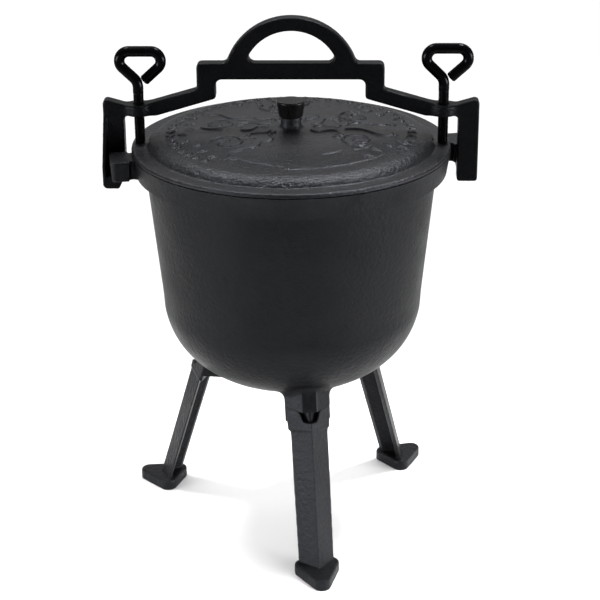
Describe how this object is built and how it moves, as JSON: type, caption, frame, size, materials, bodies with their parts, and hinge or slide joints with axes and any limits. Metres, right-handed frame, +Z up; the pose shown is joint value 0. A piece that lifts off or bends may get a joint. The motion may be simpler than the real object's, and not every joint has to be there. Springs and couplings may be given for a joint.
{
  "type": "tripod cauldron",
  "caption": "Round-bottomed cast iron cooking pot on slide-on legs, with a lid pressed down by two hand screws in a carrying yoke.",
  "frame": {"origin": "middle of the footprint box on the floor, under the pot", "axes": "+Z up along the pot's axis, front leg towards -Y, rim lugs on +X and -X"},
  "size_m": [0.3204, 0.2892, 0.4568],
  "materials": {
    "cast_iron": "dark seasoned sand casting",
    "cast_iron_lid": "dark seasoned sand casting",
    "leg_iron": "dark seasoned sand casting",
    "knob_iron": "black enamel on a casting",
    "yoke_iron": "satin black paint on a casting",
    "screw_steel": "black oxide wire",
    "plain_steel": "zinc plated screw"
  },
  "bodies": {
    "pot": {"pot_body": "cast_iron"},
    "lid": {"lid": "cast_iron_lid", "lid_knob": "knob_iron", "knob_screw": "plain_steel"},
    "yoke": {"clamp_yoke": "yoke_iron"},
    "left_shank": {"left_clamp_shank": "screw_steel"},
    "left_handle": {"left_clamp_handle": "screw_steel"},
    "right_shank": {"right_clamp_shank": "screw_steel"},
    "right_handle": {"right_clamp_handle": "screw_steel"},
    "front_leg": {"front_leg": "leg_iron"},
    "right_leg": {"right_leg": "leg_iron"},
    "left_leg": {"left_leg": "leg_iron"}
  },
  "joints": [
    {"name": "yoke_turn", "type": "hinge", "parent": "pot", "child": "yoke", "pos_m": [0, 0.00958, 0.39], "axis": [0, 0, 1], "range_deg": [-90, 0]},
    {"name": "left_screw_travel", "type": "slide", "parent": "yoke", "child": "left_shank", "axis": [0, 0, 1], "range_m": [0, 0.02406]},
    {"name": "left_handle_turn", "type": "hinge", "parent": "left_shank", "child": "left_handle", "pos_m": [-0.12582, 0.03312, 0.3946], "axis": [0, 0, 1], "range_deg": [-1, 6931]},
    {"name": "right_screw_travel", "type": "slide", "parent": "yoke", "child": "right_shank", "axis": [0, 0, 1], "range_m": [0, 0.0242]},
    {"name": "right_handle_turn", "type": "hinge", "parent": "right_shank", "child": "right_handle", "pos_m": [0.12582, -0.01397, 0.397], "axis": [0, 0, 1], "range_deg": [-1, 6931]},
    {"name": "lid_lift", "type": "slide", "parent": "pot", "child": "lid", "axis": [0, 0, 1], "range_m": [0, 0.0152]},
    {"name": "front_leg_slide", "type": "slide", "parent": "pot", "child": "front_leg", "axis": [0, -0.29, -0.957], "range_m": [0, 0.03]},
    {"name": "right_leg_slide", "type": "slide", "parent": "pot", "child": "right_leg", "axis": [0.2511, 0.145, -0.957], "range_m": [0, 0.03]},
    {"name": "left_leg_slide", "type": "slide", "parent": "pot", "child": "left_leg", "axis": [-0.2511, 0.145, -0.957], "range_m": [0, 0.03]}
  ],
  "couplings": [
    {"joint": "left_handle_turn", "follows": "left_screw_travel", "rad_per_m": 5026.5},
    {"joint": "right_screw_travel", "follows": "left_screw_travel", "ratio": 1},
    {"joint": "right_handle_turn", "follows": "left_screw_travel", "rad_per_m": 5026.5},
    {"joint": "lid_lift", "follows": "left_screw_travel", "ratio": 0.62338}
  ]
}
